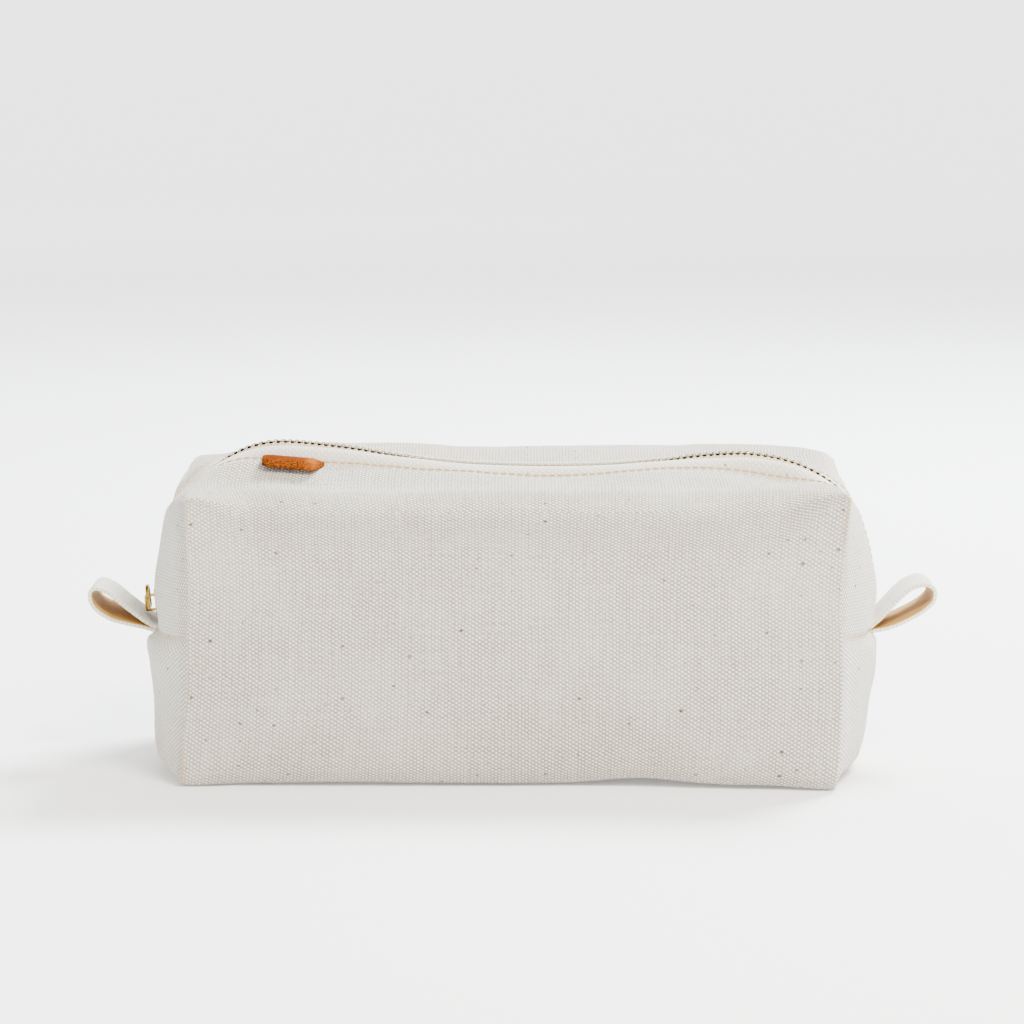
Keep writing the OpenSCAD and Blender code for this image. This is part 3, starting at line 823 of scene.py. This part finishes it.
def crimp_teeth(name, side, low, high):
    shift = 0 if side < 0 else TOOTH_STEP / 2
    points, faces = [], []
    for i in range(math.ceil((low - shift) / TOOTH_STEP), math.ceil((high - shift) / TOOTH_STEP)):
        rings = tooth_rings(i * TOOTH_STEP + shift, side)
        base = sum(len(p) for p in points)
        points.append(rings.reshape(-1, 3))
        quads = [tuple(base + k for k in f) for f in grid_faces(len(rings), 8, True)]
        last = base + (len(rings) - 1) * 8
        quads += [tuple(range(base + 7, base - 1, -1)), tuple(range(last, last + 8))]
        faces += [f if side < 0 else f[::-1] for f in quads]
    # The last four rings of each tooth, its legs, are marked for painted shade.
    leg = np.tile(np.repeat([0, 0, 0, 1, 1, 1, 1], 8), len(points))
    piece = make_piece(name, np.concatenate(points), faces, [teeth_brass], masks={"leg": leg})
    shade = piece.modifiers.new("bevel_shade", "WEIGHTED_NORMAL")
    shade.keep_sharp = False
    return piece


def weave_tape(name, side, low, high):
    """The cloth tape that carries a row of teeth, with a corded edge."""
    s = np.linspace(low, high, max(4, int((high - low) / 1.6)))
    rings, cuts = [], []
    for y, up in TAPE_PROFILE:
        drop = 0.35 if y > 5 else 0
        x, z = zip_place(s, -drawn(CHAIN_SINK, s) - (1.1 if y > 5 else 0))
        _, (ox, oz) = zip_way(s)
        ring = np.stack([x + ox * (up - drop), np.full_like(x, side * y), z + oz * (up - drop)], -1)
        if y > 9:
            ring = tucked(s, side * y, 2.4 - up)
        rings.append(ring)
        cuts.append(np.stack([s, np.full_like(s, y)], -1))
    grid, cut = np.stack(rings, 1), np.stack(cuts, 1)
    faces = grid_faces(len(s), len(TAPE_PROFILE), True)
    if side > 0:
        faces = [f[::-1] for f in faces]
    flat = cut.reshape(-1, 2)
    corner_cuts = [flat[k] for f in faces for k in f]
    return make_piece(name, grid.reshape(-1, 3), faces, [tape], corner_cuts)


def tucked(s, y, inside):
    """Points inside the canvas beside the zip, s along it and y across."""
    u = np.where(np.abs(s) <= S_CORNER, s / S_CORNER, np.sign(s))
    zh = np.where(np.abs(s) <= S_CORNER, 1.0, 1 - (1 - SEAM_H) * (np.abs(s) - S_CORNER) / (S_SEAM - S_CORNER))
    over = bag_place(u, y / HALF_DEPTH, zh)
    _, (ox, oz) = zip_way(s)
    over[..., 0] -= ox * inside
    over[..., 2] -= oz * inside
    return over


def topstitch(name, side, low, high):
    """A row of thread stitches pulled down into the canvas."""
    step, length, rings, sides = 3.05, 2.9, 7, 6
    numbers = np.arange(math.ceil(low / step), math.ceil(high / step))
    share = np.linspace(-1, 1, rings)
    s = numbers[:, None] * step + share * length / 2
    middle, before, after, beyond = (
        tucked(s + ds, side * y, 0.0) for ds, y in ((0, STITCH_Y), (-0.6, STITCH_Y), (0.6, STITCH_Y), (0, 10.4))
    )
    along = after - before
    along /= np.linalg.norm(along, axis=-1, keepdims=True)
    up = np.cross(beyond - middle, along) * side
    up /= np.linalg.norm(up, axis=-1, keepdims=True)
    up *= np.sign(np.sum(up * (middle - np.array([0, middle[..., 1].mean(), 60])), -1, keepdims=True))
    flat = np.cross(along, up)
    thick = 0.3 * np.sqrt(np.clip(1 - share**4, 0.02, 1))[None, :, None, None]
    sink = (0.08 - 0.28 * share**4 - 0.35 * ease(-106, -116, s))[:, :, None, None]
    turn = np.radians(np.arange(sides) * 360 / sides)[None, None, :, None]
    rows = middle[:, :, None] + up[:, :, None] * (sink + thick * np.sin(turn))
    rows = rows + flat[:, :, None] * thick * np.cos(turn)
    ring_faces = grid_faces(rings, sides, True)
    ring_faces += [tuple(range(sides - 1, -1, -1)), tuple(range((rings - 1) * sides, rings * sides))]
    faces = [tuple(k * rings * sides + v for v in f) for k in range(len(numbers)) for f in ring_faces]
    return make_piece(name, rows.reshape(-1, 3), faces, [thread])


# Lengths of zip, from left to right, and whether each lies under a flap.
SPANS = (
    ("left_end", -S_SEAM, -BEND_FROM, False), ("left_half", -BEND_FROM, 0.0, True),
    ("right_half", 0.0, BEND_FROM, True), ("right_end", BEND_FROM, S_SEAM, False),
)


def fit_zip(side_name, side, span, low, high, lifts):
    tape_low, tape_high = max(low, -S_SEAM + 0.5), min(high, S_SEAM - 0.5)
    teeth_low, teeth_high = max(low, SLIDER_S + 1.5), min(high, S_SEAM - 2.5)
    sewn_low, sewn_high = max(low, -S_SEAM + 2), min(high, S_SEAM - 2)
    made = {
        "tape": weave_tape(f"{side_name}_tape_{span}", side, tape_low, tape_high),
        "teeth": crimp_teeth(f"{side_name}_teeth_{span}", side, teeth_low, teeth_high),
        "stitching": topstitch(f"{side_name}_stitching_{span}", side, sewn_low, sewn_high),
    }
    end_name, end = HALVES[0] if low < 0 else HALVES[1]
    fixed_nodes = {"tape": "zip_tape", "teeth": f"{end_name}_teeth", "stitching": "stitching"}
    for kind, piece in made.items():
        if lifts:
            lift_with_flap(piece, end)
            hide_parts(f"{side_name}_flap_{kind}")
        else:
            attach(piece, "bag")
            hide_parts(f"{side_name}_{fixed_nodes[kind]}")


for side_name, side in SIDES:
    for span, low, high, lifts in SPANS:
        fit_zip(side_name, side, span, low, high, lifts)

for name in ("slider_body", "slider_crown", "pull_ring"):
    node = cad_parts[name]
    for held in node.material_slots:
        held.link = "OBJECT"
        held.material = brass

# ---------------------------------------------------------------- seam bindings inside


HALF_HEIGHT = 58.0


def bind(name, node, points, finish=None):
    """A strip of binding on the inside of the bag, over a grid of points of its outer face."""
    rows, columns = points.shape[:2]
    out = np.cross(np.gradient(points, axis=0), np.gradient(points, axis=1))
    out /= np.linalg.norm(out, axis=-1, keepdims=True)
    centre = np.array([0, 0, HALF_HEIGHT])
    out *= np.sign(np.sum(out * (points - centre), -1, keepdims=True))
    top, low = points - out * 1.75, points - out * 3.6
    count = rows * columns
    faces = grid_faces(rows, columns)
    faces = [f[::-1] for f in faces] + [tuple(k + count for k in f) for f in faces]
    border = [i * columns for i in range(rows)] + [(rows - 1) * columns + j for j in range(1, columns)]
    border += [i * columns + columns - 1 for i in range(rows - 2, -1, -1)] + list(range(columns - 2, 0, -1))
    for a, b in zip(border, border[1:] + border[:1]):
        faces.append((a, b, b + count, a + count))
    both = np.concatenate([top.reshape(-1, 3), low.reshape(-1, 3)])
    cuts = [(both[k, 0] + both[k, 1], both[k, 2]) for f in faces for k in f]
    piece = make_piece(name, both, faces, [finish or binding], cuts)
    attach(piece, "bag")
    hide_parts(node)


heights = np.linspace(0.08, 0.86, 30)
for side_name, side in SIDES:
    for end_name, end in HALVES:
        around = [bag_place(end * x, side, heights) for x in (0.925, 0.95, 0.975, 0.99)]
        around += [bag_place(end, side * y, heights) for y in (1.0, 0.985, 0.95, 0.9, 0.84)]
        corner = f"{side_name}_{end_name}_corner"
        bind(corner + "_tape", corner + "_binding", np.stack(around, 1))
for end_name, end in HALVES:
    a, b = np.meshgrid(np.linspace(-0.8, 0.8, 30), np.linspace(0.335, 0.425, 6), indexing="ij")
    bind(f"{end_name}_end_tape", f"{end_name}_end_binding", bag_place(end, a, b))
a, b = np.meshgrid(np.linspace(-0.93, 0.93, 40), np.linspace(-0.125, 0.125, 6), indexing="ij")
bind("base_seam_tape", "base_seam_binding", bag_place(a, b, 0))
# A facing under each flap's fold, seen when the flap lifts.
for side_name, side in SIDES:
    a, b = np.meshgrid(np.linspace(-0.6, 0.6, 40), np.linspace(0.78, 0.905, 6), indexing="ij")
    bind(f"{side_name}_fold_facing", f"{side_name}_canvas", bag_place(a, side * b, 1), canvas)

# ---------------------------------------------------------------- the end loops


def strip_loop(name, node, body, path, lean):
    """A strip of bonded canvas doubled back on itself, along path as (x, z) from root to root."""
    path = np.array(path, float)
    steps = np.r_[0, np.cumsum(np.hypot(*np.diff(path, axis=0).T))]
    t = np.linspace(0, steps[-1], 90)
    x, z = drawn(np.c_[steps, path[:, 0]], t), drawn(np.c_[steps, path[:, 1]], t)
    ax, az = np.gradient(x), np.gradient(z)
    size = np.hypot(ax, az)
    ox, oz = -az / size, ax / size
    flip = 1 if np.sum(ox * (x - x.mean()) + oz * (z - z.mean())) > 0 else -1
    ox, oz = ox * flip, oz * flip
    # Across the strip: outer face, raw edge, inner face, raw edge.
    half, thick, frayed = 12.0, 0.8, 0.95
    wide = np.array([-1, -0.97, -0.8, -0.4, 0, 0.4, 0.8, 0.97, 1])
    chance = np.random.default_rng(7 if x.mean() < 0 else 8)
    fray = chance.normal(0, 0.16, (len(t), 2))
    rows = []
    under = np.sin(np.pi * np.clip((t / t[-1] - 0.5) * 2, 0, 1))
    for w, up in [(w, 1) for w in wide] + [(w, -1) for w in wide[::-1]]:
        edge = 0.72 if abs(w) == 1 else 1
        y = half * w + (fray[:, 0] if w < 0 else fray[:, 1]) * (abs(w) > frayed)
        raised = lean * under * (w + 1) / 2
        rows.append(np.stack([x + ox * thick * up * edge, y, z + oz * thick * up * edge + raised], -1))
    grid = np.stack(rows, 1)
    columns = len(rows)
    faces = grid_faces(len(t), columns, True)
    faces += [tuple(range(columns))[::-1], tuple((len(t) - 1) * columns + k for k in range(columns))]
    if flip < 0:
        faces = [f[::-1] for f in faces]
    span = [*wide, *wide[::-1]]
    cuts = [(half * span[k % columns], t[k // columns]) for f in faces for k in f]
    inside = range(len(wide), columns - 1)
    kinds = [int(i % columns in inside) for i in range((len(t) - 1) * columns)] + [0, 0]
    edge_mask = np.tile([1.0 if abs(w) > frayed else 0.0 for w in span], len(t))
    # The frayed edges take a little of the painted seam shade.
    masks = {"seam": edge_mask * 0.15, "pressed": edge_mask * 0.3 + 0.7}
    piece = make_piece(name, grid.reshape(-1, 3), faces, [canvas, backing], cuts, kinds, masks)
    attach(piece, body)
    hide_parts(node)


strip_loop(
    "left_pull_loop", "left_loop", "left_end_loop",
    [
        (-134.0, 52.2), (-136.6, 53.1), (-138.9, 54.6), (-143.6, 58.0), (-148.2, 61.6), (-152.1, 64.9),
        (-155.6, 66.8), (-157.9, 67.2), (-159.6, 66.1), (-159.9, 63.5), (-158.6, 60.3), (-155.5, 57.4),
        (-151.7, 55.4), (-146.3, 53.9), (-140.5, 52.6), (-137, 51.7), (-134.0, 50.9),
    ],
    lean=2.2,
)
strip_loop(
    "right_pull_loop", "right_loop", "right_end_loop",
    [
        (135.2, 51.8), (139, 55.0), (143.4, 59.8), (148, 64.6), (152.6, 67.8), (157.0, 68.6),
        (159.9, 66.8), (160, 63), (156.4, 59), (150.5, 55.4), (143, 52.2), (135.2, 50.6),
    ],
    lean=0.6,
)

# ---------------------------------------------------------------- the leather tab


def cut_tab():
    """Leather folded double: smooth on top, rough cut edges in front, pinched at its right end."""
    spans = ((-1, -0.9, 5), (-0.87, 0.7, 62), (0.74, 1.0, 10))
    along = np.concatenate([np.linspace(*span) for span in spans])
    chance = np.random.default_rng(4)
    # Depth from the stitching and height above it: the top from back to front, cut edge, underside.
    profile = [
        (-0.4, 0.5), (-0.8, 1.4), (-2.0, 2.2), (-4.5, 2.35), (-7.2, 2.2), (-9.3, 1.75), (-10.2, 1.35),
        (-10.6, 0.7), (-10.4, 0.0), (-10.8, -0.6), (-10.6, -1.2), (-10.3, -1.8), (-9.4, -2.1), (-7, -1.6),
        (-4, -1.0), (-1.5, -0.4),
    ]
    cut_edge, beside_edge = (7, 8, 9, 10, 11), (6, 12)
    middle_x, half_width, root_y = -82.3, 11.6, -8.9
    points, fibre, crown = [], [], []
    for a in along:
        x = middle_x + a * half_width
        stitch_z = float(drawn(FRONT_STITCH_Z, x))
        narrow = float(ease(1.04, 0.62, a))
        bevel = float(ease(-1.0, -0.72, a))
        for k, (depth, height) in enumerate(profile):
            rough = chance.normal(0, 0.20 if k in cut_edge else 0.04)
            depth = depth * mix(0.18, 1, narrow) * mix(0.86, 1, bevel) + rough
            height = height * mix(0.30, 1, narrow) * mix(0.8, 1, bevel) + rough * 0.5
            lift = 0.15 + 0.3 * narrow * min(1, -depth / 9)
            points.append((x + rough * 0.3, root_y + depth, stitch_z + height + lift))
            fibre.append(1.0 if k in cut_edge else 0.45 if k in beside_edge else 0.0)
            crown.append(float(np.exp(-(((a - 0.62) / 0.2) ** 2))))
    columns = len(profile)
    faces = grid_faces(len(along), columns, True)
    faces += [tuple(range(columns))[::-1], tuple((len(along) - 1) * columns + k for k in range(columns))]
    piece = make_piece("leather_tab_piece", points, faces, [leather], masks={"fibre": fibre, "crown": crown})
    smooth = piece.modifiers.new("round", "SUBSURF")
    smooth.levels = smooth.render_levels = 1
    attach(piece, "tab")
    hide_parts("leather_tab")


cut_tab()

# ---------------------------------------------------------------- floor


def lay_floor():
    """A round sweep whose rim turns up, so that its far edge is out of sight."""
    sides = 96
    turns = np.linspace(0, 2 * math.pi, sides, endpoint=False)
    profile = [(1000, 0), (3000, 0), (5000, 0), (5700, 30), (6400, 150), (7000, 420), (7300, 700)]
    rings = [np.stack([r * np.cos(turns), r * np.sin(turns), np.full(sides, up)], -1) for r, up in profile]
    faces = [tuple(range(sides))] + [f[::-1] for f in grid_faces(len(profile), sides, True)]
    floor = make_piece("floor", np.concatenate(rings), faces, [floor_finish()])
    world = bpy.data.worlds.new("studio")
    world.use_nodes = True
    world.node_tree.nodes["Background"].inputs[0].default_value = (1, 1, 1, 1)
    world.node_tree.nodes["Background"].inputs[1].default_value = 1.3
    bpy.context.scene.world = world


lay_floor()
